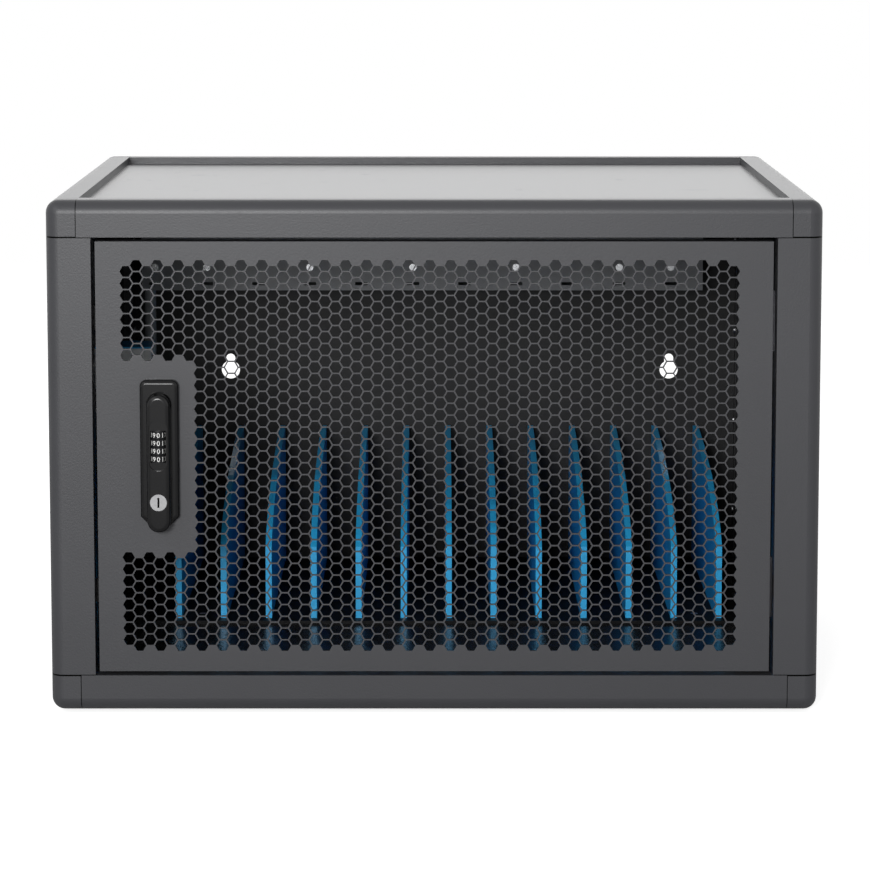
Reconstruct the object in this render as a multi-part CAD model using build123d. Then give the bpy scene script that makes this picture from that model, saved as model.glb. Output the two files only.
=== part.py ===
from build123d import *
import math
import os

# Charging cabinet for twelve laptops, in millimetres.
# X runs to the right seen from the front, Y to the back, Z up from the floor.
# The origin is on the floor, under the middle of the whole object.

# Cabinet body
width = 650.0
depth = 510.0
height = 435.0
foot_height = 3.0
foot_radius = 8.0
foot_from_front = 38.0
foot_stud_radius = 4.0
foot_stud_length = 10.0
edge_radius = 11.0
beam_height = 31.0
beam_depth = 26.0
post_width = 38.0
tube_wall = 2.0
sheet = 1.5
panel_inset = 1.5
panel_flange = 18.0
rear_flange = 8.5
top_recess = 6.5

# Door
door_gap = 3.5
door_setback = 1.0
door_return = 16.5
door_weld_flange = 12.0
hex_pitch = 10.12
hex_across_flats = 9.0
hex_columns = 59
hex_rows = 32
hex_left_margin = 20.4
hex_rise = 1.0
lock_columns = 7
lock_first_row = 8
lock_rows = 16

# Hinges
hinge_axis_inset = 8.0
hinge_axis_depth = 8.0
hinge_from_door_end = 69.0
hinge_knuckle = 16.0
hinge_arm_height = 19.0
hinge_play = 0.3
hinge_notch_fit = 1.0
hinge_barrel_radius = 3.0
hinge_pin_radius = 1.6
hinge_leaf_width = 19.0
hinge_leaf_thickness = 1.8
arm_plate_thickness = 2.0
arm_thickness = 5.6
arm_half_width = 2.3
running_fit = 0.05

# Swing handle and lock
lock_x = -230.6
spindle_z = 267.0
plate_width = 32.5
plate_below_spindle = 106.5
plate_above_spindle = 20.5
plate_thickness = 8.0
plate_chamfer = 11.0
plate_corner = 5.5
plate_edge = 3.5
well_radius = 10.6
well_depth = 5.6
lever_width = 19.7
lever_reach = 97.15
lever_thickness = 12.0
lever_clearance = 0.3
lever_edge = 4.0
lever_pivot_height = 6.0
lever_pin_radius = 1.5
tongue_width = 6.0
tongue_half_height = 4.0
tongue_play = 0.3
spindle_radius = 5.0
window_width = 15.4
window_length = 43.7
window_below_spindle = 32.8
window_depth = 2.0
dial_count = 4
dial_pitch = 6.745
dial_play = 0.5
dial_radius = 6.0
dial_proud = 0.7
dial_below_spindle = 23.9
dial_axle_radius = 1.2
dial_axle_seat = 3.0
dial_groove_radius = 0.35
plug_radius = 7.0
plug_below_spindle = 81.0
plug_proud = 0.6
plug_length = 11.0
keyway_width = 1.6
keyway_length = 8.5
keyway_floor = 2.0
lock_screw_pitch = 60.0
lock_screw_reach = 4.0
spindle_clearance = 2.0
backing_width = 44.0
backing_thickness = 2.0
backing_overhang = 9.0
cam_thickness = 3.0
cam_width = 16.0
cam_overlap = 7.0
cam_behind_post = 1.5
nut_radius = 8.0
nut_thickness = 5.0
strike_thickness = 1.2
strike_width = 18.0
strike_height = 56.0
stop_width = 8.0
stop_height = 20.0
stop_gap = 0.3
stop_from_door_end = 66.0

# Laptop dividers and their base
divider_count = 13
divider_pitch = 41.0
divider_thickness = 5.5
divider_centre_x = 13.0
divider_front = 215.0
divider_front_height = 66.0
divider_brow_depth = 20.0
divider_brow_height = 80.0
divider_step_depth = 55.0
divider_step_height = 95.0
divider_shoulder_depth = 115.0
divider_shoulder_height = 112.0
divider_back_depth = 210.0
divider_back_height = 126.0
divider_end_height = 133.0
divider_wall_gap = 0.3
base_thickness = 3.0
base_slot_depth = 2.0
base_margin = 22.0
base_front_margin = 12.0

# Outlet rail
rail_width = 544.0
rail_centre_x = -12.0
rail_fixings_x = -21.0
rail_front = 440.0
rail_bottom = 312.0
rail_height = 90.0
outlet_count = 12
outlet_pitch = 44.0
outlet_width = 28.0
outlet_height = 20.0
outlet_depth = 22.0
outlet_rim = 1.6
outlet_drop = 13.5
blade_slot_pitch = 12.7
blade_slot_width = 1.8
blade_slot_height = 7.0
blade_slot_lift = 1.5
ground_hole_drop = 5.5
ground_hole_radius = 2.4
tie_slot_count = 11
tie_slot_pitch = 50.0
tie_slot_width = 12.0
tie_slot_height = 3.0
tie_slot_rise = 5.0
rail_screw_count = 5
rail_screw_pitch = 100.0
rail_end_screws = 500.0
rail_screw_rise = 22.5
rail_screw_reach = 3.0

# Timer box, conduits, inlet and switch
timer_width = 54.0
timer_depth = 47.0
timer_front = 353.0
timer_bottom = 205.0
timer_height = 61.5
timer_lid = 1.5
conduit_radius = 5.5
conduit_bend = 22.0
lower_conduit_x = -278.0
conduit_behind_rail_front = 12.0
inlet_x = -278.0
inlet_z = 66.0
inlet_width = 28.0
inlet_height = 22.0
inlet_depth = 30.0
inlet_rim = 3.0
inlet_wall = 2.0
inlet_recess = 18.0
blade_width = 2.0
blade_height = 4.0
blade_length = 14.0
blade_pitch = 7.0
blade_drop = 3.5
ground_blade_lift = 2.0
switch_rise = 42.0
switch_width = 19.0
switch_height = 27.0
switch_depth = 22.0
switch_wall = 2.0
switch_rim = 1.5
switch_recess = 17.0
rocker_pivot_depth = 9.5
rocker_play = 0.3
rocker_half_height = 9.6
rocker_pin_radius = 1.2
keyhole_spacing = 435.0
keyhole_centre_x = 15.0
keyhole_z = 225.0
keyhole_radius = 9.0
keyhole_slot_width = 9.0
keyhole_slot_rise = 16.0

# Screws
screw_radius = 1.75
screw_head_radius = 3.4
screw_head_height = 1.5
screw_hole_fit = 0.25
panel_screw_count = 4
panel_screw_pitch = 90.0
base_screw_margin = 20.0
strike_screw_margin = 5.0

# Places that follow from the sizes above
door_front = door_setback
plate_face = door_front - plate_thickness
lever_back = plate_face - lever_clearance
lever_face = lever_back - lever_thickness
dial_axis_depth = lever_face - dial_proud + dial_radius
handle_reach = dial_radius - dial_axis_depth
y_front = (handle_reach - depth) / 2
y_back = y_front + depth
half_width = width / 2
z_low = foot_height
z_high = foot_height + height
open_low = z_low + beam_height
open_high = z_high - beam_height
open_half = half_width - post_width
frame_half = half_width - beam_depth
post_back = beam_depth
door_half = open_half - door_gap
door_low = open_low + door_gap
door_high = open_high - door_gap
door_mid = (door_low + door_high) / 2
floor_top = open_low
base_top = floor_top + base_thickness
rear_skin = depth - panel_inset
rear_inner = rear_skin - sheet
side_inner = half_width - panel_inset - sheet

nodes = {}


def at(distance):
    """The Y of a plane that lies a distance behind the cabinet's front plane."""
    return y_front + distance


def block(x0, x1, d0, d1, z0, z1):
    """A box between two X values, two distances behind the front plane and two heights."""
    middle = ((x0 + x1) / 2, (at(d0) + at(d1)) / 2, (z0 + z1) / 2)
    return Pos(*middle) * Box(x1 - x0, d1 - d0, z1 - z0)


def rod_x(x0, x1, d, z, radius):
    """A round rod along X."""
    return Pos((x0 + x1) / 2, at(d), z) * Rot(0, 90, 0) * Cylinder(radius, x1 - x0)


def rod_y(x, d0, d1, z, radius):
    """A round rod along Y."""
    return Pos(x, (at(d0) + at(d1)) / 2, z) * Rot(90, 0, 0) * Cylinder(radius, d1 - d0)


def rod_z(x, d, z0, z1, radius):
    """A round rod along Z."""
    return Pos(x, at(d), (z0 + z1) / 2) * Cylinder(radius, z1 - z0)


def plate_xz(points, d0, d1):
    """A plate across the cabinet, from its outline in X and Z."""
    outline = Polyline(*[(x, at(d0), z) for x, z in points], close=True)
    return Solid.extrude(Face(Wire(outline.edges())), Vector(0, d1 - d0, 0))


def plate_yz(points, x0, x1):
    """A plate along the cabinet, from its outline in distance and Z."""
    outline = Polyline(*[(x0, at(d), z) for d, z in points], close=True)
    return Solid.extrude(Face(Wire(outline.edges())), Vector(x1 - x0, 0, 0))


def spread(count, pitch, middle=0.0):
    """Evenly spaced values about a middle."""
    return [middle + (i - (count - 1) / 2) * pitch for i in range(count)]


def keep(name, *pieces):
    """Store the solids of one node."""
    solids = [s for piece in pieces for s in piece.solids()]
    nodes[name] = solids


def cut(name, *tools):
    """Cut tools out of every solid of a node."""
    nodes[name] = [solid.cut(*tools).solids()[0] for solid in nodes[name]]


def rounded_body(inset):
    """The cabinet's outer form with its rounded edges, moved inwards by an inset."""
    size = (width - 2 * inset, depth - 2 * inset, height - 2 * inset)
    form = Pos(0, (y_front + y_back) / 2, (z_low + z_high) / 2) * Box(*size)
    return fillet(form.edges(), edge_radius - inset)


def screw_y(x, head, tip, z):
    """A pan-head screw along Y, with its head outside the first distance."""
    way = 1 if tip > head else -1
    top = head - way * screw_head_height
    first, last = sorted((top, head))
    near, far = sorted((head, tip))
    return rod_y(x, first, last, z, screw_head_radius) + rod_y(x, near, far, z, screw_radius)


def screw_x(head, tip, d, z):
    """A pan-head screw along X, with its head outside the first X value."""
    way = 1 if tip > head else -1
    first, last = sorted((head - way * screw_head_height, head))
    near, far = sorted((head, tip))
    return rod_x(first, last, d, z, screw_head_radius) + rod_x(near, far, d, z, screw_radius)


# Frame: corner blocks, beams and posts

outer_form = rounded_body(0)
inner_form = rounded_body(tube_wall)


def tube(x0, x1, d0, d1, z0, z1):
    """A closed hollow bar of the frame, with the body's rounding on its outer edge."""
    bar = outer_form & block(x0, x1, d0, d1, z0, z1)
    inside_x = (x0 + tube_wall, x1 - tube_wall)
    inside_d = (d0 + tube_wall, d1 - tube_wall)
    inside_z = (z0 + tube_wall, z1 - tube_wall)
    return bar - (inner_form & block(*inside_x, *inside_d, *inside_z))


def corner(side, d0, z0):
    """A cast corner block of the frame."""
    x0, x1 = sorted((side * half_width, side * frame_half))
    return outer_form & block(x0, x1, d0, d0 + beam_depth, z0, z0 + beam_height)


back_d = depth - beam_depth
corner_blocks, side_beams = [], []
for level, z0 in (("top", open_high), ("bottom", z_low)):
    z1 = z0 + beam_height
    corner_blocks += [corner(s, d, z0) for s in (-1, 1) for d in (0, back_d)]
    keep(f"front_beam_{level}", tube(-frame_half, frame_half, 0, beam_depth, z0, z1))
    side_beams.append(tube(-half_width, -frame_half, beam_depth, back_d, z0, z1))
    side_beams.append(tube(frame_half, half_width, beam_depth, back_d, z0, z1))
keep("corner_blocks", *corner_blocks)
keep("side_beams", *side_beams)
rear_beams = [
    tube(-frame_half, frame_half, back_d, depth, z, z + beam_height) for z in (open_high, z_low)
]
keep("rear_beams", *rear_beams)
keep("front_post_left", tube(-half_width, -open_half, 0, post_back, open_low, open_high))
keep("front_post_right", tube(open_half, half_width, 0, post_back, open_low, open_high))
keep(
    "rear_posts",
    tube(-half_width, -frame_half, back_d, depth, open_low, open_high),
    tube(frame_half, half_width, back_d, depth, open_low, open_high),
)

feet = []
studs = []
foot_x = half_width - beam_depth / 2
for x in (-foot_x, foot_x):
    for d in (foot_from_front, depth - foot_from_front):
        stud = rod_z(x, d, z_low, z_low + foot_stud_length, foot_stud_radius)
        feet.append(rod_z(x, d, 0, z_low, foot_radius) + stud)
        studs.append(stud)

# Panels, each a shallow folded tray


def tray(x0, x1, d0, d1, z0, z1, hollow):
    """A folded tray: its outer box less the inner box."""
    return block(x0, x1, d0, d1, z0, z1) - block(*hollow)


panel_top = z_high - top_recess
fx = frame_half
inner_x = (-fx + sheet, fx - sheet)
inner_d = (beam_depth + sheet, back_d - sheet)
for name, top in (("top_panel", panel_top), ("floor_panel", floor_top)):
    low = top - panel_flange
    keep(name, tray(-fx, fx, beam_depth, back_d, low, top, (*inner_x, *inner_d, low, top - sheet)))
for name, side in (("left", -1), ("right", 1)):
    skin = half_width - panel_inset
    low, high = sorted((side * skin, side * (skin - panel_flange)))
    deep, shallow = sorted((side * (skin - sheet), side * (skin - panel_flange)))
    keep(
        f"side_panel_{name}",
        tray(
            low, high, beam_depth, back_d, open_low, open_high,
            (deep, shallow, *inner_d, open_low + sheet, open_high - sheet),
        ),
    )
rear_rim = rear_skin - rear_flange
inner_z = (open_low + sheet, open_high - sheet)
keep(
    "rear_panel",
    tray(-fx, fx, rear_rim, rear_skin, open_low, open_high, (*inner_x, rear_rim, rear_inner, *inner_z)),
)
for x in spread(2, keyhole_spacing, keyhole_centre_x):
    half_slot = keyhole_slot_width / 2
    slot_end = keyhole_z + keyhole_slot_rise - half_slot
    cut(
        "rear_panel",
        rod_y(x, rear_inner, rear_skin, keyhole_z, keyhole_radius),
        block(x - half_slot, x + half_slot, rear_inner, rear_skin, keyhole_z, slot_end),
        rod_y(x, rear_inner, rear_skin, slot_end, half_slot),
    )

panel_screws = []
for side in (-1, 1):
    for z in spread(panel_screw_count, panel_screw_pitch, door_mid):
        inside = side * (frame_half - sheet)
        middle = rear_inner - screw_head_radius - running_fit
        panel_screws.append(screw_x(inside, side * (frame_half + tube_wall), middle, z))
cut("rear_panel", *panel_screws)
cut("rear_posts", *panel_screws)
keep("feet", *feet)
cut("side_beams", *studs)

# Door: one perforated sheet with a plain border, and the folded ring welded behind it

hex_column_pitch = hex_pitch * math.cos(math.radians(30))
hex_radius = hex_across_flats / math.sqrt(3)
cell_radius = hex_pitch / math.sqrt(3)
hex_first_x = -door_half + hex_left_margin + hex_radius
hex_mid_z = door_mid + hex_rise


def rows_in(column):
    """Odd columns are shifted half a pitch and hold one hole more."""
    return hex_rows + column % 2


def hex_x(column):
    return hex_first_x + column * hex_column_pitch


def hex_z(column, row):
    return hex_mid_z + ((rows_in(column) - 1) / 2 - row) * hex_pitch


def is_hole(column, row):
    """The lock's zone at the left stays plain."""
    last = lock_first_row + lock_rows + column % 2
    return column >= lock_columns or not lock_first_row <= row < last


def between_columns(column):
    """The zigzag between one column of holes and the next, from the door's foot to its head."""
    x, low, high = hex_x(column), door_low, door_high
    points = []
    for row in reversed(range(rows_in(column))):
        z = hex_z(column, row)
        points.append((x + cell_radius / 2, z - hex_pitch / 2))
        points.append((x + cell_radius, z))
    points.append((x + cell_radius / 2, hex_z(column, 0) + hex_pitch / 2))
    return [(points[0][0], low)] + points + [(points[-1][0], high)]


def outline(points):
    """A closed outline in X and Z on the door's face."""
    return Wire.make_polygon([(x, at(door_front), z) for x, z in points], close=True)


def hole_outline(column, row):
    """One hexagon with its corners at the left and right."""
    x, z = hex_x(column), hex_z(column, row)
    turns = [math.radians(60 * k) for k in range(6)]
    return outline([(x + hex_radius * math.cos(a), z + hex_radius * math.sin(a)) for a in turns])


def is_outside(face, openings):
    """True for the faces of a strip that belong to the finished sheet's surface."""
    normal, middle = face.normal_at(), face.center()
    if abs(normal.Y) > 0.5:
        return True
    if abs(abs(middle.X) - door_half) < 1e-4:
        return True
    for x, z, half in openings:
        away = max(abs(middle.X - x), abs(middle.Z - z))
        if abs(away - half) < 1e-4:
            return True
    return min(abs(middle.Z - door_low), abs(middle.Z - door_high)) < 1e-4


def perforated_sheet(openings):
    """The door's sheet, built in strips that meet between the columns of holes.

    Each strip keeps its front, its back and the walls of its holes, and they are sewn to one solid.
    The openings are square holes in the plain zone, each with its middle and half its side.
    """
    squares = [
        block(x - half, x + half, 0, door_front + sheet + 1, z - half, z + half)
        for x, z, half in openings
    ]
    lines = [[(-door_half, door_low), (-door_half, door_high)]]
    lines += [between_columns(column) for column in range(hex_columns - 1)]
    lines += [[(door_half, door_low), (door_half, door_high)]]
    faces = []
    for column in range(hex_columns):
        border = outline(lines[column + 1] + lines[column][::-1])
        rows = [row for row in range(rows_in(column)) if is_hole(column, row)]
        centres = [(hex_x(column), hex_z(column, row)) for row in rows]
        strip = Solid.extrude(
            Face(border, [hole_outline(column, row) for row in rows]), Vector(0, sheet, 0)
        )
        if column <= lock_columns:
            strip = strip.cut(*squares)
        for face in strip.faces():
            middle = face.center()
            reach = [math.hypot(middle.X - x, middle.Z - z) for x, z in centres]
            in_hole = any(abs(r - hex_across_flats / 2) < 1e-3 for r in reach)
            if in_hole or is_outside(face, openings):
                faces.append(face)
    return Solid(Shell(faces))


plate_low = spindle_z - plate_below_spindle
plate_high = spindle_z + plate_above_spindle
sheet_back = door_front + sheet
spindle_opening = spindle_radius + spindle_clearance
half_plate = plate_width / 2
lock_screw_x = (lock_x - half_plate / 2, lock_x + half_plate / 2)
lock_screw_low = plate_low + plate_chamfer + screw_head_radius
lock_screw_z = (lock_screw_low, lock_screw_low + lock_screw_pitch)
lock_screw_places = [(x, z) for x in lock_screw_x for z in lock_screw_z]
sheet_openings = [(x, z, screw_radius + screw_hole_fit) for x, z in lock_screw_places]
sheet_openings.append((lock_x, spindle_z, spindle_opening))
keep("door_sheet", perforated_sheet(sheet_openings))

ring_back = sheet_back + door_return
ring_web = block(-door_half, door_half, sheet_back, ring_back, door_low, door_high) - block(
    -door_half + sheet, door_half - sheet, sheet_back, ring_back, door_low + sheet, door_high - sheet
)
weld = door_weld_flange
flange_back = sheet_back + sheet
ring_flange = block(-door_half, door_half, sheet_back, flange_back, door_low, door_high) - block(
    -door_half + weld, door_half - weld, sheet_back, flange_back, door_low + weld, door_high - weld
)
door_ring = ring_web + ring_flange

# Hinges at the right: the post's arm reaches behind the door's edge, so the axis lies inside the door

axis_x = door_half - hinge_axis_inset
axis_d = hinge_axis_depth
arm_back = ring_back + hinge_play + arm_thickness
arm_front = ring_back + hinge_play
hinge_heights = (door_low + hinge_from_door_end, door_high - hinge_from_door_end)
leaves = []
arms = []
pins = []
notches = []
arm_half = hinge_arm_height / 2
knuckle_from = arm_half + hinge_play
knuckle_to = knuckle_from + hinge_knuckle
bore = hinge_pin_radius + running_fit
for z in hinge_heights:
    span = (z - knuckle_to, z + knuckle_to)
    leaf = block(
        axis_x - hinge_leaf_width, door_half - weld, sheet_back, sheet_back + hinge_leaf_thickness, *span
    )
    for low, high in ((z - knuckle_to, z - knuckle_from), (z + knuckle_from, z + knuckle_to)):
        web_d = (sheet_back, axis_d)
        leaf += block(axis_x - hinge_leaf_width, axis_x, *web_d, low, high)
        leaf += rod_z(axis_x, axis_d, low, high, hinge_barrel_radius)
    leaf -= rod_z(axis_x, axis_d, *span, bore)
    leaves.append(leaf)
    arm = block(axis_x - arm_half_width, open_half, arm_front, arm_back, z - arm_half, z + arm_half)
    arm += block(
        axis_x - arm_half_width, axis_x + arm_half_width, axis_d, arm_back, z - arm_half, z + arm_half
    )
    arm += block(
        open_half - arm_plate_thickness, open_half, arm_front, post_back, z - knuckle_to, z + knuckle_to
    )
    arm += rod_z(axis_x, axis_d, z - arm_half, z + arm_half, hinge_barrel_radius)
    arm -= rod_z(axis_x, axis_d, z - arm_half, z + arm_half, hinge_pin_radius)
    arms.append(arm)
    pins.append(rod_z(axis_x, axis_d, *span, hinge_pin_radius))
    notches.append(
        block(
            door_half - weld, door_half, sheet_back, ring_back,
            z - knuckle_to - hinge_notch_fit, z + knuckle_to + hinge_notch_fit,
        )
    )
for notch in notches:
    door_ring -= notch
keep("door_ring", door_ring)
keep("hinge_leaves", *leaves)
keep("hinge_arms", *arms)
keep("hinge_pins", *pins)

hinge_screws = []
for z in hinge_heights:
    for dz in (-hinge_knuckle, hinge_knuckle):
        inside = open_half - arm_plate_thickness
        tip = open_half + tube_wall
        hinge_screws.append(screw_x(inside, tip, arm_front + arm_thickness / 2, z + dz))
cut("hinge_arms", *hinge_screws)
cut("front_post_right", *hinge_screws)

# Swing handle: plate, spindle with latch cam, lever with number dials and key plug

c = plate_chamfer
escutcheon = plate_xz(
    [
        (lock_x - half_plate, plate_high),
        (lock_x + half_plate, plate_high),
        (lock_x + half_plate, plate_low + c),
        (lock_x + half_plate - c, plate_low),
        (lock_x - half_plate + c, plate_low),
        (lock_x - half_plate, plate_low + c),
    ],
    plate_face,
    door_front,
)
escutcheon = fillet(escutcheon.edges().filter_by(Axis.Y).group_by(Axis.Z)[-1], plate_corner)
escutcheon = fillet(escutcheon.faces().sort_by(Axis.Y)[0].edges(), plate_edge)
well_floor = plate_face + well_depth
spindle_bore = spindle_radius + running_fit
escutcheon -= rod_y(lock_x, plate_face, well_floor, spindle_z, well_radius)
escutcheon -= rod_y(lock_x, plate_face, door_front, spindle_z, spindle_bore)
keep("handle_plate", escutcheon)

backing_back = sheet_back + backing_thickness
backing = block(
    lock_x - backing_width / 2, lock_x + backing_width / 2, sheet_back, backing_back,
    plate_low - backing_overhang, plate_high + backing_overhang,
)
backing -= rod_y(lock_x, sheet_back, backing_back, spindle_z, spindle_bore)
keep("backing_plate", backing)

screw_tip = door_front - lock_screw_reach
lock_screws = [screw_y(x, backing_back, screw_tip, z) for x, z in lock_screw_places]
keep("lock_screws", *lock_screws)
cut("handle_plate", *lock_screws)
cut("backing_plate", *lock_screws)

pivot_d = lever_back - lever_pivot_height
cam_front = post_back + cam_behind_post
cam_back = cam_front + cam_thickness
nut_back = cam_back + nut_thickness
half_tongue = tongue_width / 2
tongue = block(
    lock_x - half_tongue, lock_x + half_tongue, pivot_d, well_floor,
    spindle_z - tongue_half_height, spindle_z + tongue_half_height,
)
tongue += rod_x(lock_x - half_tongue, lock_x + half_tongue, pivot_d, spindle_z, tongue_half_height)
spindle = rod_y(lock_x, well_floor, nut_back, spindle_z, spindle_radius) + tongue
spindle -= rod_x(
    lock_x - half_tongue, lock_x + half_tongue, pivot_d, spindle_z, lever_pin_radius + running_fit
)
keep("handle_spindle", spindle)

cam_tip = -open_half - cam_overlap
cam = block(
    cam_tip, lock_x, cam_front, cam_back, spindle_z - cam_width / 2, spindle_z + cam_width / 2
)
cam += rod_y(lock_x, cam_front, cam_back, spindle_z, cam_width / 2 + 1)
cam -= rod_y(lock_x, cam_front, cam_back, spindle_z, spindle_radius)
keep("latch_cam", cam)

nut_points = [math.radians(60 * i + 30) for i in range(6)]
nut = plate_xz(
    [(lock_x + nut_radius * math.cos(a), spindle_z + nut_radius * math.sin(a)) for a in nut_points],
    cam_back,
    nut_back,
)
nut -= rod_y(lock_x, cam_back, nut_back, spindle_z, spindle_radius)
keep("cam_nut", nut)

strike_low = spindle_z - strike_height / 2
strike = block(
    -open_half - strike_width, -open_half, post_back, post_back + strike_thickness,
    strike_low, strike_low + strike_height,
)
strike_screws = []
for z in (strike_low + strike_screw_margin, strike_low + strike_height - strike_screw_margin):
    x = -open_half - strike_width / 2
    strike_screws.append(screw_y(x, post_back + strike_thickness, post_back - tube_wall, z))
strike -= strike_screws[0] + strike_screws[1]
keep("strike_plate", strike)
cut("front_post_left", *strike_screws)

stops = []
for z in (door_low + stop_from_door_end, door_high - stop_from_door_end):
    stops.append(
        block(
            -open_half, -open_half + stop_width, ring_back + stop_gap, post_back,
            z - stop_height / 2, z + stop_height / 2,
        )
    )
keep("door_stops", *stops)

half_lever = lever_width / 2
lever_end = spindle_z - lever_reach
lever_outline = Plane((lock_x, at(lever_back), 0), x_dir=(1, 0, 0), z_dir=(0, -1, 0))
lever_sketch = Pos(0, (spindle_z + lever_end) / 2) * SlotOverall(
    spindle_z - lever_end + lever_width, lever_width, rotation=90
)
lever = extrude(lever_outline * lever_sketch, lever_thickness)
lever = fillet(lever.faces().sort_by(Axis.Y)[0].edges(), lever_edge)
half_slot = half_tongue + tongue_play
lever -= block(
    lock_x - half_slot, lock_x + half_slot, pivot_d - tongue_half_height - tongue_play, lever_back,
    spindle_z - 2 * tongue_half_height, spindle_z + half_lever + 1,
)
pin_half = half_lever - 1
lever_pin = rod_x(lock_x - pin_half, lock_x + pin_half, pivot_d, spindle_z, lever_pin_radius)
lever -= lever_pin
window_z = spindle_z - window_below_spindle
window_plane = Plane((lock_x, at(lever_face), 0), x_dir=(1, 0, 0), z_dir=(0, 1, 0))
window_sketch = Pos(0, -window_z) * SlotOverall(window_length, window_width, rotation=90)
lever -= extrude(window_plane * window_sketch, window_depth)

dial_z = [spindle_z - dial_below_spindle - i * dial_pitch for i in range(dial_count)]
dial_height = dial_pitch - dial_play
pocket_half = dial_radius + dial_play
pocket_high = dial_z[0] + dial_pitch / 2
pocket_low = dial_z[-1] - dial_pitch / 2
lever -= block(
    lock_x - pocket_half, lock_x + pocket_half, lever_face, lever_back, pocket_low, pocket_high
)
axle_ends = (pocket_low - dial_axle_seat, pocket_high + dial_axle_seat)
axle = rod_z(lock_x, dial_axis_depth, *axle_ends, dial_axle_radius)
lever -= axle
plug_z = spindle_z - plug_below_spindle
plug_face = lever_face - plug_proud
plug_back = plug_face + plug_length
lever -= rod_y(lock_x, lever_face, plug_back, plug_z, plug_radius + running_fit)
keep("handle_lever", lever)
keep("lever_pins", lever_pin, axle)

for i, z in enumerate(dial_z):
    dial = rod_z(lock_x, dial_axis_depth, z - dial_height / 2, z + dial_height / 2, dial_radius)
    dial -= rod_z(
        lock_x, dial_axis_depth, z - dial_height / 2, z + dial_height / 2,
        dial_axle_radius + running_fit,
    )
    for turn in range(10):
        a = math.radians(36 * turn + 18)
        x = lock_x + dial_radius * math.sin(a)
        d = dial_axis_depth - dial_radius * math.cos(a)
        dial -= rod_z(x, d, z - dial_height / 2, z + dial_height / 2, dial_groove_radius)
    keep(f"number_dial_{i + 1}", dial)

plug = rod_y(lock_x, plug_face, plug_back, plug_z, plug_radius)
plug -= block(
    lock_x - keyway_width / 2, lock_x + keyway_width / 2, plug_face, plug_back - keyway_floor,
    plug_z - keyway_length / 2, plug_z + keyway_length / 2,
)
keep("key_plug", plug)

# Dividers that stand in the slots of a base plate

base_half = (divider_count - 1) * divider_pitch / 2 + base_margin
base_back = rear_rim - divider_wall_gap
base = block(
    divider_centre_x - base_half, divider_centre_x + base_half,
    divider_front - base_front_margin, base_back, floor_top, base_top,
)
divider_low = base_top - base_slot_depth
divider_profile = [
    (divider_front, divider_low),
    (divider_front, base_top + divider_front_height),
    (divider_front + divider_brow_depth, base_top + divider_brow_height),
    (divider_front + divider_step_depth, base_top + divider_step_height),
    (divider_front + divider_shoulder_depth, base_top + divider_shoulder_height),
    (divider_front + divider_back_depth, base_top + divider_back_height),
    (base_back, base_top + divider_end_height),
    (base_back, divider_low),
]
divider_x = spread(divider_count, divider_pitch, divider_centre_x)
for i, x in enumerate(divider_x):
    x0, x1 = x - divider_thickness / 2, x + divider_thickness / 2
    keep(f"divider_{i + 1:02d}", plate_yz(divider_profile, x0, x1))
    base -= block(x0, x1, divider_front, base_back, divider_low, base_top)
base_screws = []
for x in (divider_x[0] + divider_pitch / 2, divider_x[-1] - divider_pitch / 2):
    for d in (divider_front + base_screw_margin, base_back - base_screw_margin):
        head = rod_z(x, d, base_top - screw_head_height, base_top, screw_head_radius)
        base_screws.append(head + rod_z(x, d, floor_top - sheet, base_top, screw_radius))
for screw in base_screws:
    base -= screw
keep("divider_base", base)
cut("floor_panel", *base_screws)

# Outlet rail along the rear top

rail_left = rail_centre_x - rail_width / 2
rail_right = rail_centre_x + rail_width / 2
rail_top = rail_bottom + rail_height
rail = tray(
    rail_left, rail_right, rail_front, rear_inner, rail_bottom, rail_top,
    (
        rail_left + sheet, rail_right - sheet, rail_front + sheet, rear_inner,
        rail_bottom + sheet, rail_top - sheet,
    ),
)
outlets = []
outlet_z = rail_top - outlet_drop
for x in spread(outlet_count, outlet_pitch, rail_centre_x):
    body_x = (x - outlet_width / 2, x + outlet_width / 2)
    body_z = (outlet_z - outlet_height / 2, outlet_z + outlet_height / 2)
    rim_x = (body_x[0] - outlet_rim, body_x[1] + outlet_rim)
    rim_z = (body_z[0] - outlet_rim, body_z[1] + outlet_rim)
    body = block(*body_x, rail_front, rail_front + outlet_depth, *body_z)
    rail -= body
    outlet = body + block(*rim_x, rail_front - outlet_rim, rail_front, *rim_z)
    deep = rail_front + outlet_depth / 2
    face = rail_front - outlet_rim
    for slot_x in (x - blade_slot_pitch / 2, x + blade_slot_pitch / 2):
        low = outlet_z + blade_slot_lift - blade_slot_height / 2
        outlet -= block(
            slot_x - blade_slot_width / 2, slot_x + blade_slot_width / 2, face, deep,
            low, low + blade_slot_height,
        )
    outlet -= rod_y(x, face, deep, outlet_z - ground_hole_drop, ground_hole_radius)
    outlets.append(outlet)
for x in spread(tie_slot_count, tie_slot_pitch, rail_fixings_x):
    z0 = rail_bottom + tie_slot_rise
    rail -= block(
        x - tie_slot_width / 2, x + tie_slot_width / 2, rail_front, rail_front + sheet,
        z0, z0 + tie_slot_height,
    )
rail_screws = []
rail_screw_x = spread(rail_screw_count, rail_screw_pitch, rail_fixings_x)
rail_screw_x += spread(2, rail_end_screws, rail_fixings_x)
for x in rail_screw_x:
    screw = screw_y(x, rail_front, rail_front + sheet + rail_screw_reach, rail_bottom + rail_screw_rise)
    rail_screws.append(screw)
    rail -= screw
keep("outlet_rail", rail)
keep("outlets", *outlets)
keep("cabinet_screws", *panel_screws, *hinge_screws, *strike_screws, *base_screws, *rail_screws)

# Timer box on the left side panel, conduits, inlet and switch

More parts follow.
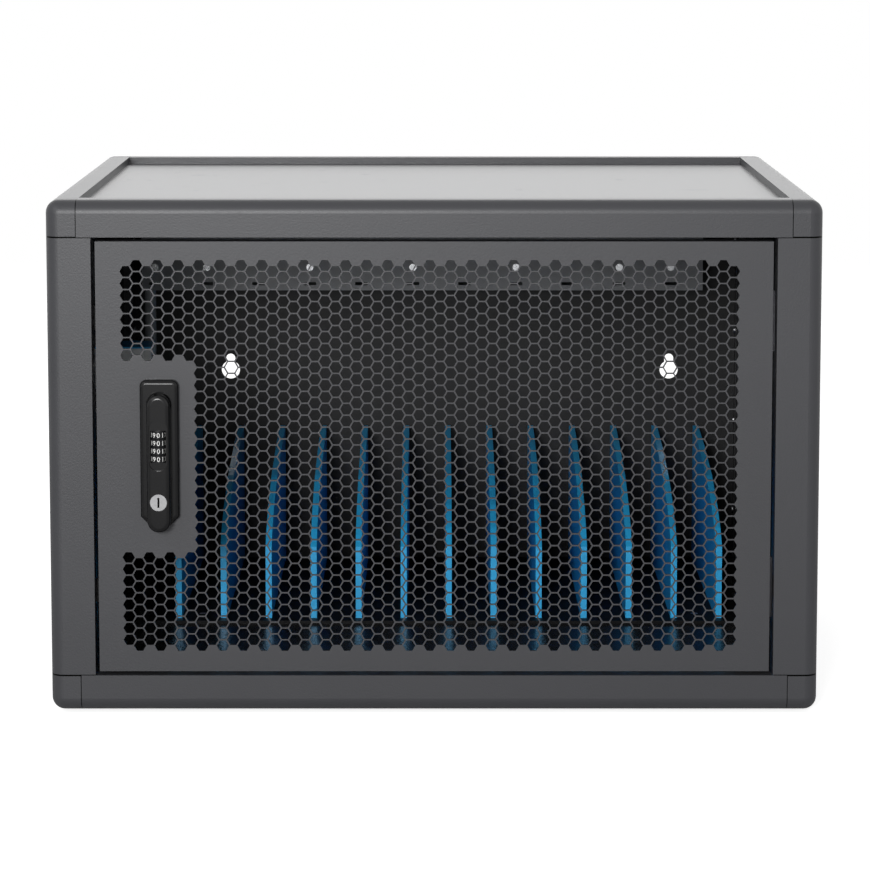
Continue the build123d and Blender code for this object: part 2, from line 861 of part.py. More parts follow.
timer_x0 = -side_inner
timer_x1 = timer_x0 + timer_width
timer_back = timer_front + timer_depth
timer_top = timer_bottom + timer_height
timer = block(timer_x0, timer_x1, timer_front, timer_back, timer_bottom, timer_top)
keep("timer_box", timer)
keep("timer_lid", block(timer_x0, timer_x1, timer_front, timer_back, timer_top, timer_top + timer_lid))


def conduit(x, start, corner_point, end):
    """A round conduit with one bend, from a start to an end through a corner, in distance and Z."""
    r = conduit_bend
    sd, sz = start
    cd, cz = corner_point
    ed, ez = end
    turn_z = cz + math.copysign(r, sz - cz)
    turn_d = cd + math.copysign(r, ed - cd)
    first = Line((x, at(sd), sz), (x, at(cd), turn_z))
    last = Line((x, at(turn_d), cz), (x, at(ed), ez))
    centre = (turn_d, turn_z)
    away = r * math.sqrt(0.5)
    mid_d = centre[0] - math.copysign(away, ed - cd)
    mid_z = centre[1] - math.copysign(away, sz - cz)
    bend = ThreePointArc((x, at(cd), turn_z), (x, at(mid_d), mid_z), (x, at(turn_d), cz))
    path = Wire([*first.edges(), *bend.edges(), *last.edges()])
    start_plane = Plane(origin=(x, at(sd), sz), z_dir=(0, 0, math.copysign(1, cz - sz)))
    return sweep(start_plane * Circle(conduit_radius), path=path)


conduit_x = rail_left + sheet + conduit_radius
upper_d = rail_front + conduit_behind_rail_front
upper_z = timer_bottom + timer_height / 2
lower_d = timer_front + timer_depth / 2
inlet_front = rear_inner - inlet_depth
keep(
    "conduits",
    conduit(conduit_x, (upper_d, rail_bottom), (upper_d, upper_z), (timer_back, upper_z)),
    conduit(lower_conduit_x, (lower_d, timer_bottom), (lower_d, inlet_z), (inlet_front, inlet_z)),
)


def rear_cutout(x, z, w, h):
    """The sheet metal that a fitting in the rear panel takes away."""
    return block(x - w / 2, x + w / 2, rear_inner, rear_skin, z - h / 2, z + h / 2)


w, h = inlet_width, inlet_height
cut("rear_panel", rear_cutout(inlet_x, inlet_z, w, h))
inlet = block(inlet_x - w / 2, inlet_x + w / 2, inlet_front, rear_skin, inlet_z - h / 2, inlet_z + h / 2)
inlet += block(
    inlet_x - w / 2 - inlet_rim, inlet_x + w / 2 + inlet_rim, rear_skin, depth,
    inlet_z - h / 2 - inlet_rim, inlet_z + h / 2 + inlet_rim,
)
wall = inlet_wall
inlet -= block(
    inlet_x - w / 2 + wall, inlet_x + w / 2 - wall, depth - inlet_recess, depth,
    inlet_z - h / 2 + wall, inlet_z + h / 2 - wall,
)
keep("power_inlet", inlet)
blades = []
for i, x in enumerate(spread(3, blade_pitch, inlet_x)):
    z = inlet_z - blade_drop + (ground_blade_lift if i == 1 else 0)
    root = depth - inlet_recess
    blades.append(
        block(
            x - blade_width / 2, x + blade_width / 2, root, root + blade_length,
            z - blade_height / 2, z + blade_height / 2,
        )
    )
keep("inlet_blades", *blades)

w, h = switch_width, switch_height
switch_x, switch_z = inlet_x, inlet_z + switch_rise
cut("rear_panel", rear_cutout(switch_x, switch_z, w, h))
switch = block(
    switch_x - w / 2, switch_x + w / 2, rear_inner - switch_depth, rear_skin,
    switch_z - h / 2, switch_z + h / 2,
)
rim = switch_rim
switch += block(
    switch_x - w / 2 - rim, switch_x + w / 2 + rim, rear_skin, depth,
    switch_z - h / 2 - rim, switch_z + h / 2 + rim,
)
wall = switch_wall
switch -= block(
    switch_x - w / 2 + wall, switch_x + w / 2 - wall, depth - switch_recess, depth,
    switch_z - h / 2 + wall, switch_z + h / 2 - wall,
)
rocker_d = depth - rocker_pivot_depth
rocker_x0 = switch_x - w / 2 + wall + rocker_play
rocker_x1 = switch_x + w / 2 - wall - rocker_play
q = rocker_half_height
rocker = plate_yz(
    [
        (rocker_d + 5.5, switch_z),
        (rocker_d + 7.0, switch_z + q),
        (rocker_d - 2.0, switch_z + q - 2),
        (rocker_d - 4.0, switch_z),
        (rocker_d - 2.0, switch_z - q + 2),
        (rocker_d + 7.0, switch_z - q),
    ],
    rocker_x0,
    rocker_x1,
)
pin = rod_x(switch_x - w / 2, switch_x + w / 2, rocker_d, switch_z, rocker_pin_radius)
switch -= pin
rocker -= rod_x(rocker_x0, rocker_x1, rocker_d, switch_z, rocker_pin_radius + running_fit)
keep("switch_body", switch)
keep("switch_pin", pin)
keep("switch_rocker", rocker)

os.makedirs("parts", exist_ok=True)
for name, solids in nodes.items():
    shape = solids[0] if len(solids) == 1 else Compound(children=solids)
    export_step(shape, f"parts/{name}.step", write_pcurves=False)
print(len(nodes), "nodes written")
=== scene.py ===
import math

import bmesh
import bpy
from mathutils import Euler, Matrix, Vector


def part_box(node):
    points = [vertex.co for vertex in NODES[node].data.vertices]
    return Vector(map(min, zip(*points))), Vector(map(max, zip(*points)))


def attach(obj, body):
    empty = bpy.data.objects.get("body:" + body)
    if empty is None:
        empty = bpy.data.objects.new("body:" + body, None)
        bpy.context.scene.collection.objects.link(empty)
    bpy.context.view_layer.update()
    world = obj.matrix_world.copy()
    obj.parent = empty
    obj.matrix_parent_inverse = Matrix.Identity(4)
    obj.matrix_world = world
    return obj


bl_info = {
    "name": "Laptop Charging Cabinet",
    "version": (1, 0, 0),
    "blender": (4, 5, 0),
    "location": "View3D > Sidebar > Cabinet",
    "description": "Finishes a laptop charging cabinet and its studio",
    "category": "Object",
}

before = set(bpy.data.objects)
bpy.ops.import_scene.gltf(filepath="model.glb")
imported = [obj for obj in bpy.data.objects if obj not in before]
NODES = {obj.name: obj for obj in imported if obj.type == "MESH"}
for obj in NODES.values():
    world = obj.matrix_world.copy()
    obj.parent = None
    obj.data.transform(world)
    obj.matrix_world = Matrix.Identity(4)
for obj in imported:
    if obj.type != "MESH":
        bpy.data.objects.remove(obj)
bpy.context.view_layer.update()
DECK_LOW, DECK_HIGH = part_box("top_panel")
POST_LOW, POST_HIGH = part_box("front_post_left")
DIALS = [f"number_dial_{i}" for i in range(1, 5)]
DIVIDERS = [f"divider_{i:02d}" for i in range(1, 14)]

# Lengths are in metres.
SEAM_WIDTH = 0.0007
PAINT_MARGIN = 0.0004
KEYWAY_MARGIN = 0.0006
INK_THICKNESS = 0.00004
INK_LIFT = 0.00002
FLOOR_RADIUS = 9.0
FLOOR_FADE_START = 1.2
FLOOR_FADE_END = 3.5

# painted shade for the cabinet's dark inside
PAINTED_SHADE_BLACK = (0.007, 0.007, 0.008)
SEAM_BLACK = (0.004, 0.004, 0.004)
KEYWAY_BLACK = (0.03, 0.03, 0.03)
WHITE = (1.0, 1.0, 1.0, 1.0)

BEVEL_ANGLE = math.radians(40)
DIGITS = 10
DIGIT_STEP = math.radians(360 / DIGITS)
DIGIT_TURN = math.radians(4)  # puts the 0 in the middle of the lever's window
LETTER_SIZE = 1.38  # a font's size over the height of its digits


class Value:
    """A socket that can be used in Python arithmetic; each step adds a Math node."""

    def __init__(self, finish, socket):
        self.finish = finish
        self.socket = socket

    def step(self, operation, first, second):
        return self.finish.node("ShaderNodeMath", {"operation": operation}, {0: first, 1: second})

    def __add__(self, other):
        return self.step("ADD", self, other)

    def __radd__(self, other):
        return self.step("ADD", other, self)

    def __sub__(self, other):
        return self.step("SUBTRACT", self, other)

    def __rsub__(self, other):
        return self.step("SUBTRACT", other, self)

    def __mul__(self, other):
        return self.step("MULTIPLY", self, other)

    def __abs__(self):
        return self.finish.node("ShaderNodeMath", {"operation": "ABSOLUTE"}, {0: self})

    def __gt__(self, other):
        return self.step("GREATER_THAN", self, other)

    def __lt__(self, other):
        return self.step("LESS_THAN", self, other)


class Finish:
    """A material whose nodes are made one by one, with its shader's plain values set on the sockets."""

    def __init__(self, name, **constants):
        self.material = bpy.data.materials.new(name)
        self.material.use_nodes = True
        self.tree = self.material.node_tree
        self.tree.nodes.clear()
        self.output = self.tree.nodes.new("ShaderNodeOutputMaterial")
        self.shader = self.tree.nodes.new("ShaderNodeBsdfPrincipled")
        self.tree.links.new(self.shader.outputs[0], self.output.inputs["Surface"])
        self.place = None
        self.set(**constants)

    def set(self, **constants):
        for key, value in constants.items():
            name = key.replace("_", " ").title().replace("Ior", "IOR")
            if isinstance(value, Value):
                self.tree.links.new(value.socket, self.shader.inputs[name])
            elif name == "Base Color":
                self.shader.inputs[name].default_value = (*value, 1.0)
            else:
                self.shader.inputs[name].default_value = value

    def node(self, kind, settings=None, inputs=None, output=0):
        made = self.tree.nodes.new(kind)
        for key, value in (settings or {}).items():
            if key == "stops":
                self.fill_ramp(made.color_ramp, value)
            else:
                setattr(made, key, value)
        for key, value in (inputs or {}).items():
            socket = made.inputs[key]
            if isinstance(value, Value):
                self.tree.links.new(value.socket, socket)
            else:
                socket.default_value = value
        return Value(self, made.outputs[output])

    def fill_ramp(self, ramp, stops):
        while len(ramp.elements) < len(stops):
            ramp.elements.new(0.5)
        for element, (position, grey) in zip(ramp.elements, stops):
            element.position = position
            element.color = (grey, grey, grey, 1.0)

    def point(self):
        """The place on the object, in metres."""
        if self.place is None:
            self.place = self.node("ShaderNodeTexCoord", output=3)
        return self.place

    def stretched(self, x, y, z):
        return self.node("ShaderNodeVectorMath", {"operation": "MULTIPLY"}, {0: self.point(), 1: (x, y, z)})

    def noise(self, scale, detail=3.0, roughness=0.55, where=None):
        inputs = {"Vector": where or self.point(), "Scale": scale, "Detail": detail, "Roughness": roughness}
        return self.node("ShaderNodeTexNoise", None, inputs)

    def axis(self, index):
        """One of the point's three distances."""
        return self.node("ShaderNodeSeparateXYZ", None, {"Vector": self.point()}, output=index)

    def ramp(self, value, stops):
        return self.node("ShaderNodeValToRGB", {"stops": stops}, {"Fac": value})

    def blend(self, mask, first, second):
        """Mix two colours; a Mix node has its colour inputs at 6 and 7 and its colour output at 2."""
        colours = [(*c, 1.0) if isinstance(c, tuple) and len(c) == 3 else c for c in (first, second)]
        return self.node(
            "ShaderNodeMix",
            {"data_type": "RGBA"},
            {0: mask, 6: colours[0], 7: colours[1]},
            output=2,
        )

    def bump(self, height, strength, distance):
        inputs = {"Strength": strength, "Distance": distance, "Height": height}
        self.set(normal=self.node("ShaderNodeBump", None, inputs))


def shade(colour, factor):
    """A colour made lighter or darker."""
    return tuple(min(1.0, part * factor) for part in colour[:3])


def powder_coat(name, colour, roughness, grain=1.0, dark=None, shine=0.42, seam=None):
    """Powder coat: a fine orange-peel grain, faint cloudiness and small scuffs.

    Dark and seam are functions that return a mask: of the places painted nearly black as painted shade,
    and of the joints between two pieces, where it doesn't shine either.
    """
    f = Finish(name, specular_ior_level=shine)
    cloud = f.noise(9.0, 4.0)
    speck = f.noise(1400.0, 2.0)
    scuff = f.ramp(f.noise(38.0, 6.0, 0.7), [(0.62, 0.0), (0.78, 1.0)])
    tone = f.blend(cloud, shade(colour, 0.88), shade(colour, 1.12))
    tone = f.blend(speck * 0.35, tone, shade(colour, 1.35))
    # painted shade: the places of the dark mask are painted nearly black
    if dark:
        tone = f.blend(dark(f), tone, PAINTED_SHADE_BLACK)
    if seam:
        joint = seam(f)
        tone = f.blend(joint, tone, SEAM_BLACK)
        f.set(metallic=joint)
    f.set(base_color=tone)
    f.set(roughness=roughness + (speck - 0.5) * 0.16 + scuff * 0.08)
    peel = f.noise(620.0, 2.0) * 0.7 + f.noise(1500.0, 1.0) * 0.3
    f.bump(peel, 0.3 * grain, 0.0004)
    return f.material


def moulded(name, colour, roughness, grain=0.15, shine=0.5):
    """Moulded plastic: a soft grain with slight clouds in its gloss."""
    f = Finish(name, specular_ior_level=shine)
    cloud = f.noise(24.0, 3.0)
    fine = f.noise(1800.0, 2.0)
    f.set(base_color=f.blend(cloud, shade(colour, 0.93), shade(colour, 1.07)))
    f.set(roughness=roughness + (cloud - 0.5) * 0.08 + (fine - 0.5) * 0.05)
    f.bump(fine, grain, 0.0002)
    return f.material


def bare_metal(name, colour, roughness, along=(1.0, 1.0, 14.0), strength=0.12, dark=None):
    """Bare or plated metal with a drawn grain and cloudy stains."""
    f = Finish(name, metallic=1.0)
    drawn = f.noise(420.0, 3.0, 0.6, f.stretched(*along))
    cloud = f.noise(60.0, 4.0)
    tone = f.blend(cloud, shade(colour, 0.86), shade(colour, 1.1))
    f.set(base_color=f.blend(dark(f), tone, KEYWAY_BLACK) if dark else tone)
    f.set(roughness=roughness + (drawn - 0.5) * 0.18 + (cloud - 0.5) * 0.1)
    f.bump(drawn, strength, 0.0002)
    return f.material


def seam_lines(f):
    """The thin dark joints where a corner block meets the beams and posts."""
    across = abs(f.axis(0)) < DECK_HIGH.x + SEAM_WIDTH
    deck = (DECK_LOW + DECK_HIGH) / 2
    along = abs(f.axis(1) - deck.y) < DECK_HIGH.y - deck.y + SEAM_WIDTH
    post = (POST_LOW + POST_HIGH) / 2
    upright = abs(f.axis(2) - post.z) < POST_HIGH.z - post.z + SEAM_WIDTH
    return 1.0 - (1.0 - across) * (1.0 - along) * (1.0 - upright)


def post_ends(f):
    """The thin dark joints at the head and foot of a post."""
    return 1.0 - (f.axis(2) > POST_LOW.z + SEAM_WIDTH) * (f.axis(2) < POST_HIGH.z - SEAM_WIDTH)


def keyway(f):
    """The shadowed inside of the key plug's slot."""
    return f.axis(1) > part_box("key_plug")[0].y + KEYWAY_MARGIN


def inner_side(f):
    """The inside of the side and rear panels, painted nearly black as painted shade."""
    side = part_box("side_panel_right")[1]
    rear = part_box("rear_panel")[1]
    return (abs(f.axis(0)) < side.x - PAINT_MARGIN) * (f.axis(1) < rear.y - PAINT_MARGIN)


def give(material, *names):
    """Put one material on CAD nodes."""
    for name in names:
        slots = NODES[name].material_slots
        if not slots:
            NODES[name].data.materials.append(material)
        for slot in slots:
            slot.material = material


def soften(width, segments, *names):
    """A small bevel on a CAD node's sharp edges, for its highlights and seams."""
    for name in names:
        bevel = NODES[name].modifiers.new("edge_softening", "BEVEL")
        bevel.width = width
        bevel.segments = segments
        bevel.limit_method = "ANGLE"
        bevel.angle_limit = BEVEL_ANGLE
        bevel.harden_normals = True
        bevel.use_clamp_overlap = True


def settings(context):
    """The values of the sidebar panel."""
    return context.scene.cabinet_finish, context.scene.cabinet_stage


class CabinetFinish(bpy.types.PropertyGroup):
    """Colours and grain of the cabinet."""

    coat_colour: bpy.props.FloatVectorProperty(
        name="Coat colour", description="Charcoal powder coat on the frame and door",
        subtype="COLOR", size=3, min=0.0, max=1.0, default=(0.038, 0.0385, 0.043),
    )
    coat_roughness: bpy.props.FloatProperty(
        name="Coat roughness", description="Roughness of the powder coat",
        subtype="FACTOR", min=0.0, max=1.0, default=0.40,
    )
    divider_colour: bpy.props.FloatVectorProperty(
        name="Divider colour", description="Blue plastic of the dividers",
        subtype="COLOR", size=3, min=0.0, max=1.0, default=(0.035, 0.50, 1.0),
    )
    lever_colour: bpy.props.FloatVectorProperty(
        name="Handle colour", description="Gloss black of the swing handle",
        subtype="COLOR", size=3, min=0.0, max=1.0, default=(0.004, 0.004, 0.0045),
    )
    digit_height: bpy.props.FloatProperty(
        name="Digit height", description="Height of the digits printed on the number dials",
        unit="LENGTH", min=0.001, max=0.006, default=0.0042,
    )
    edge_width: bpy.props.FloatProperty(
        name="Edge softening", description="Bevel on the frame's seams",
        unit="LENGTH", min=0.0, max=0.002, default=0.0009,
    )


class CabinetStage(bpy.types.PropertyGroup):
    """Camera and lamps of the studio."""

    lens: bpy.props.FloatProperty(
        name="Lens", description="Focal length in millimetres",
        subtype="DISTANCE_CAMERA", unit="CAMERA", min=20.0, max=300.0, default=136.14,
    )
    camera_place: bpy.props.FloatVectorProperty(
        name="Camera place", description="Where the camera stands",
        subtype="TRANSLATION", unit="LENGTH", size=3, default=(0.0024, -2.9767, 0.6769),
    )
    camera_pitch: bpy.props.FloatProperty(
        name="Camera pitch", description="How far the camera looks down",
        subtype="ANGLE", unit="ROTATION", default=math.radians(6.81),
    )
    camera_shift: bpy.props.FloatVectorProperty(
        name="Camera shift", description="Lens shift across and up", size=2, default=(-0.0024, -0.15),
    )
    key_power: bpy.props.FloatProperty(
        name="Key lamp", description="Power of the large soft lamp", unit="POWER", min=0.0, default=22.0,
    )
    fill_power: bpy.props.FloatProperty(
        name="Fill lamp", description="Power of the soft lamp on the other side", unit="POWER",
        min=0.0, default=3.0,
    )
    front_power: bpy.props.FloatProperty(
        name="Front lamp", description="Power of the lamp that reaches in through the door", unit="POWER",
        min=0.0, default=112.0,
    )
    back_power: bpy.props.FloatProperty(
        name="Back lamp", description="Power of the low lamp behind, which brightens the top", unit="POWER",
        min=0.0, default=25.0,
    )
    sky: bpy.props.FloatProperty(
        name="Sky", description="Strength of the pale surroundings on the object",
        subtype="FACTOR", min=0.0, max=1.0, default=0.3,
    )


def put_in_scene(name, form):
    """Make an object of a form built in code."""
    mesh = bpy.data.meshes.new(name)
    form.to_mesh(mesh)
    form.free()
    made = bpy.data.objects.new(name, mesh)
    bpy.context.scene.collection.objects.link(made)
    return made


class CABINET_OT_frame(bpy.types.Operator):
    """Finish the corner blocks, beams, posts and panels"""

    bl_idname = "cabinet.frame"
    bl_label = "Frame and panels"

    def execute(self, context):
        finish, _ = settings(context)
        coat = powder_coat("charcoal_powder_coat", finish.coat_colour, finish.coat_roughness)
        cast = powder_coat(
            "charcoal_cast_corner", finish.coat_colour, finish.coat_roughness + 0.02, 1.3, seam=seam_lines
        )
        # painted light: the top panel's coat is 10 % lighter than the frame's, for the brighter light on top
        deck = powder_coat(
            "charcoal_top_deck_painted_light", shade(finish.coat_colour, 1.1), finish.coat_roughness - 0.04, 0.5
        )
        # painted shade: the panels' insides are painted nearly black for the shade inside the cabinet
        inside = powder_coat(
            "charcoal_panel_coat", finish.coat_colour, finish.coat_roughness + 0.12, 1.0, inner_side, 0.3
        )
        # painted shade: the floor panel's coat is nearly black for the shade inside the cabinet
        bed = powder_coat(
            "floor_coat_painted_shade", shade(finish.coat_colour, 0.09), finish.coat_roughness - 0.14, 0.3
        )
        beams = ["front_beam_top", "front_beam_bottom", "rear_beams", "side_beams"]
        posts = ["front_post_left", "front_post_right", "rear_posts"]
        post_coat = powder_coat(
            "charcoal_post_coat", finish.coat_colour, finish.coat_roughness, 1.0, seam=post_ends
        )
        give(coat, *beams)
        give(post_coat, *posts)
        give(cast, "corner_blocks")
        give(deck, "top_panel")
        give(inside, "side_panel_left", "side_panel_right", "rear_panel")
        give(bed, "floor_panel")
        soften(finish.edge_width, 2, *beams, *posts, "corner_blocks", "top_panel")
        return {"FINISHED"}


class CABINET_OT_door(bpy.types.Operator):
    """Finish the perforated sheet, its ring, the hinges and the stops"""

    bl_idname = "cabinet.door"
    bl_label = "Door and hinges"

    def execute(self, context):
        finish, _ = settings(context)
        give(
            powder_coat("charcoal_door_coat", shade(finish.coat_colour, 0.97), finish.coat_roughness + 0.02),
            "door_sheet", "door_ring",
        )
        # painted shade: hinge leaves and arms are dark metal for the shade of the door gap they sit in
        give(bare_metal("hinge_metal_painted_shade", (0.10, 0.10, 0.11), 0.42), "hinge_leaves", "hinge_arms")
        give(bare_metal("bright_pin", (0.7, 0.7, 0.72), 0.22), "hinge_pins")
        give(moulded("soft_black_rubber", (0.02, 0.02, 0.021), 0.7, 0.4), "door_stops", "feet")
        soften(0.0002, 1, "door_sheet")
        soften(0.0003, 2, "door_ring", "hinge_leaves", "hinge_arms", "door_stops")
        return {"FINISHED"}


class CABINET_OT_handle(bpy.types.Operator):
    """Finish the handle's plate, lever, key plug, spindle and latch"""

    bl_idname = "cabinet.handle"
    bl_label = "Swing handle and latch"

    def execute(self, context):
        finish, _ = settings(context)
        gloss = moulded("gloss_black_handle", finish.lever_colour, 0.2, 0.04, 0.3)
        plate = moulded("satin_black_plate", finish.lever_colour, 0.24, 0.06, 0.25)
        plug = bare_metal("bright_key_plug", (0.27, 0.27, 0.275), 0.5, (1.0, 14.0, 1.0), 0.4, keyway)
        zinc = bare_metal("zinc_latch", (0.58, 0.59, 0.61), 0.36, (14.0, 1.0, 1.0))
        give(gloss, "handle_lever")
        give(plate, "handle_plate")
        give(plug, "key_plug")
        give(zinc, "handle_spindle", "cam_nut", "backing_plate")
        # painted shade: the latch cam and strike plate are zinc painted nearly black for the shade of the door
        # gap
        give(bare_metal("zinc_latch_painted_shade", (0.07, 0.07, 0.075), 0.5), "latch_cam", "strike_plate")
        give(bare_metal("zinc_screws", (0.66, 0.67, 0.69), 0.3), "lock_screws", "cabinet_screws", "lever_pins")
        soften(0.0005, 3, "handle_plate")
        soften(0.0003, 2, "handle_lever", "key_plug", "latch_cam", "backing_plate")
        return {"FINISHED"}


class CABINET_OT_dials(bpy.types.Operator):
    """Finish the number dials and print their digits"""

    bl_idname = "cabinet.dials"
    bl_label = "Number dials"

    def execute(self, context):
        finish, _ = settings(context)
        give(moulded("black_dial", (0.008, 0.008, 0.009), 0.34, 0.08, 0.25), *DIALS)
        ink = moulded("white_digit_ink", (0.82, 0.82, 0.80), 0.45, 0.05)
        for index, dial in enumerate(DIALS):
            digits = self.print_digits(dial, finish.digit_height)
            digits.data.materials.append(ink)
            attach(digits, f"dial_{index + 1}")
        return {"FINISHED"}

    def print_digits(self, dial, height):
        """Ten digits bent round the dial, as thin raised ink."""
        low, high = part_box(dial)
        middle = (low + high) / 2
        radius = (high.x - low.x) / 2
        form = bmesh.new()
        for digit in range(DIGITS):
            curve = bpy.data.curves.new("digit", "FONT")
            curve.body = str(digit)
            curve.size = height * LETTER_SIZE
            curve.align_x = "CENTER"
            curve.extrude = INK_THICKNESS
            curve.resolution_u = 3
            carrier = bpy.data.objects.new("digit", curve)
            bpy.context.scene.collection.objects.link(carrier)
            mesh = bpy.data.meshes.new_from_object(carrier)
            start = len(form.verts)
            form.from_mesh(mesh)
            form.verts.ensure_lookup_table()
            angle = DIGIT_STEP * digit + DIGIT_TURN
            for vert in form.verts[start:]:
                across, up, out = vert.co
                around = angle + across / radius
                reach = radius + INK_LIFT + out
                vert.co = (
                    middle.x + reach * math.sin(around),
                    middle.y - reach * math.cos(around),
                    middle.z + up - height / 2,
                )
            bpy.data.objects.remove(carrier)
            bpy.data.meshes.remove(mesh)
            bpy.data.curves.remove(curve)
        bmesh.ops.remove_doubles(form, verts=form.verts, dist=1e-6)
        return put_in_scene(f"{dial}_digits", form)


class CABINET_OT_dividers(bpy.types.Operator):
    """Finish the blue dividers and their base"""

    bl_idname = "cabinet.dividers"
    bl_label = "Dividers"

    def execute(self, context):
        finish, _ = settings(context)
        give(moulded("blue_divider", finish.divider_colour, 0.34, 0.1), *DIVIDERS)
        give(moulded("black_divider_base", (0.004, 0.004, 0.0045), 0.5, 0.1, 0.12), "divider_base")
        soften(0.0012, 3, *DIVIDERS)
        return {"FINISHED"}


class CABINET_OT_power(bpy.types.Operator):
    """Finish the outlet rail, outlets, timer box, conduits, inlet and switch"""

    bl_idname = "cabinet.power"
    bl_label = "Power parts"

    def execute(self, context):
        finish, _ = settings(context)
        give(powder_coat("grey_rail_coat", (0.20, 0.205, 0.215), 0.42), "outlet_rail")
        give(moulded("black_outlet", (0.02, 0.02, 0.022), 0.38), "outlets", "power_inlet", "switch_body")
        give(moulded("black_rocker", (0.015, 0.015, 0.016), 0.2, 0.05), "switch_rocker")
        give(moulded("white_timer_box", (0.92, 0.93, 0.93), 0.36), "timer_box")
        give(moulded("blue_timer_lid", finish.divider_colour, 0.34), "timer_lid")
        give(moulded("grey_conduit", (0.34, 0.35, 0.36), 0.5), "conduits")
        give(bare_metal("brass_blade", (0.78, 0.62, 0.32), 0.24), "inlet_blades")
        give(bare_metal("switch_pin_steel", (0.6, 0.6, 0.61), 0.3), "switch_pin")
        soften(0.0006, 2, "outlet_rail", "timer_box", "timer_lid", "switch_rocker")
        soften(0.0004, 2, "outlets", "power_inlet", "switch_body")
        return {"FINISHED"}


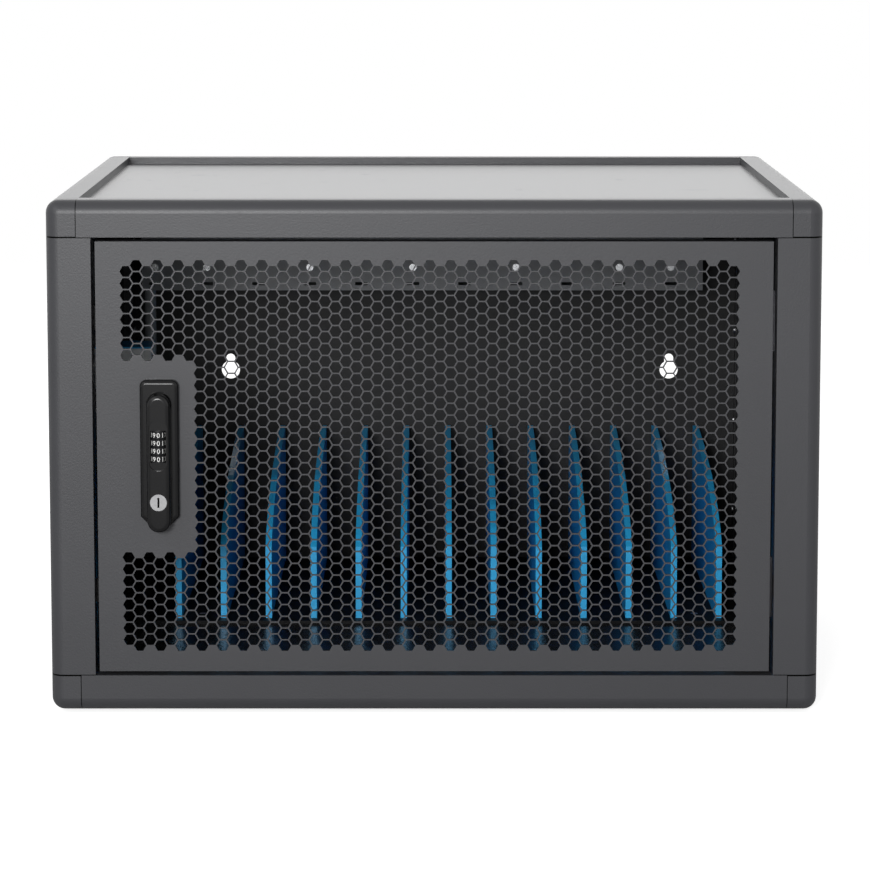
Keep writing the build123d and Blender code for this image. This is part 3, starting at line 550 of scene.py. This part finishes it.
class CABINET_OT_stage(bpy.types.Operator):
    """Set the floor, backdrop, lamps and camera"""

    bl_idname = "cabinet.stage"
    bl_label = "Studio"

    def execute(self, context):
        _, stage = settings(context)
        self.floor()
        self.surroundings(context, stage)
        self.lamp("key_lamp", (-2.3, -2.6, 2.9), (0.0, -0.1, 0.2), 2.4, stage.key_power)
        self.lamp("front_lamp", (-0.7, -4.3, 1.15), (0.0, 0.1, 0.12), 1.0, stage.front_power)
        self.lamp("back_lamp", (0.0, 3.2, 1.5), (0.0, 0.0, 0.44), 3.0, stage.back_power)
        self.lamp("fill_lamp", (2.6, -2.2, 1.7), (0.0, -0.1, 0.2), 2.2, stage.fill_power)
        camera = bpy.data.cameras.new("camera")
        camera.lens = stage.lens
        camera.sensor_fit = "HORIZONTAL"
        camera.sensor_width = 36.0
        camera.shift_x, camera.shift_y = stage.camera_shift
        holder = bpy.data.objects.new("camera", camera)
        holder.location = stage.camera_place
        holder.rotation_euler = Euler((math.radians(90) - stage.camera_pitch, 0.0, 0.0))
        context.scene.collection.objects.link(holder)
        context.scene.camera = holder
        context.scene.view_settings.view_transform = "Standard"
        return {"FINISHED"}

    def floor(self):
        """A round pale floor that melts into the backdrop."""
        form = bmesh.new()
        bmesh.ops.create_circle(form, cap_ends=True, segments=96, radius=FLOOR_RADIUS)
        bmesh.ops.recalc_face_normals(form, faces=form.faces)
        made = put_in_scene("studio_floor", form)
        f = Finish("pale_floor", roughness=0.9, specular_ior_level=0.0, base_color=(0.86, 0.86, 0.86))
        path = f.node("ShaderNodeLightPath")
        glow = f.node("ShaderNodeEmission", None, {"Color": WHITE, "Strength": 0.75})
        plain = Value(f, f.shader.outputs[0])
        both = f.node("ShaderNodeAddShader", None, {0: plain, 1: glow})
        seen = f.node("ShaderNodeMixShader", None, {0: path, 1: plain, 2: both})
        away = f.node("ShaderNodeVectorMath", {"operation": "LENGTH"}, {0: f.point()}, output=1)
        reach = {"Value": away, "From Min": FLOOR_FADE_START, "From Max": FLOOR_FADE_END}
        fade = f.node("ShaderNodeMapRange", None, reach)
        clear = f.node("ShaderNodeBsdfTransparent")
        mixed = f.node("ShaderNodeMixShader", None, {0: fade, 1: seen, 2: clear})
        f.tree.links.new(mixed.socket, f.output.inputs["Surface"])
        made.data.materials.append(f.material)

    def surroundings(self, context, stage):
        """White to the camera and to reflections, softer as light."""
        world = bpy.data.worlds.new("pale_surroundings")
        world.use_nodes = True
        tree = world.node_tree
        tree.nodes.clear()
        output = tree.nodes.new("ShaderNodeOutputWorld")
        path = tree.nodes.new("ShaderNodeLightPath")
        mix = tree.nodes.new("ShaderNodeMixShader")
        for index, strength in ((1, stage.sky), (2, 1.0)):
            background = tree.nodes.new("ShaderNodeBackground")
            background.inputs["Color"].default_value = WHITE
            background.inputs["Strength"].default_value = strength
            tree.links.new(background.outputs[0], mix.inputs[index])
        seen = path.outputs["Is Camera Ray"]
        for kind in ("Is Glossy Ray", "Is Transmission Ray"):
            either = tree.nodes.new("ShaderNodeMath")
            either.operation = "MAXIMUM"
            tree.links.new(seen, either.inputs[0])
            tree.links.new(path.outputs[kind], either.inputs[1])
            seen = either.outputs[0]
        tree.links.new(seen, mix.inputs[0])
        tree.links.new(mix.outputs[0], output.inputs["Surface"])
        context.scene.world = world

    def lamp(self, name, place, target, size, power):
        """A round soft lamp that faces its target."""
        data = bpy.data.lights.new(name, "AREA")
        data.shape = "DISK"
        data.size = size
        data.energy = power
        made = bpy.data.objects.new(name, data)
        made.location = place
        way = Vector(target) - Vector(place)
        made.rotation_euler = way.to_track_quat("-Z", "Y").to_euler()
        bpy.context.scene.collection.objects.link(made)


OPERATORS = (
    CABINET_OT_frame,
    CABINET_OT_door,
    CABINET_OT_handle,
    CABINET_OT_dials,
    CABINET_OT_dividers,
    CABINET_OT_power,
    CABINET_OT_stage,
)


class CABINET_PT_panel(bpy.types.Panel):
    """Sizes, colours and steps of the cabinet"""

    bl_idname = "CABINET_PT_panel"
    bl_label = "Charging Cabinet"
    bl_space_type = "VIEW_3D"
    bl_region_type = "UI"
    bl_category = "Cabinet"

    def draw(self, context):
        for group in settings(context):
            box = self.layout.box()
            for name in group.bl_rna.properties.keys():
                if name not in ("rna_type", "name"):
                    box.prop(group, name)
        for operator in OPERATORS:
            self.layout.operator(operator.bl_idname)


CLASSES = (CabinetFinish, CabinetStage, *OPERATORS, CABINET_PT_panel)


def register():
    for each in CLASSES:
        bpy.utils.register_class(each)
    bpy.types.Scene.cabinet_finish = bpy.props.PointerProperty(type=CabinetFinish)
    bpy.types.Scene.cabinet_stage = bpy.props.PointerProperty(type=CabinetStage)


def unregister():
    del bpy.types.Scene.cabinet_stage
    del bpy.types.Scene.cabinet_finish
    for each in reversed(CLASSES):
        bpy.utils.unregister_class(each)


def main():
    register()
    bpy.ops.cabinet.frame()
    bpy.ops.cabinet.door()
    bpy.ops.cabinet.handle()
    bpy.ops.cabinet.dials()
    bpy.ops.cabinet.dividers()
    bpy.ops.cabinet.power()
    bpy.ops.cabinet.stage()


if __name__ == "__main__":
    main()
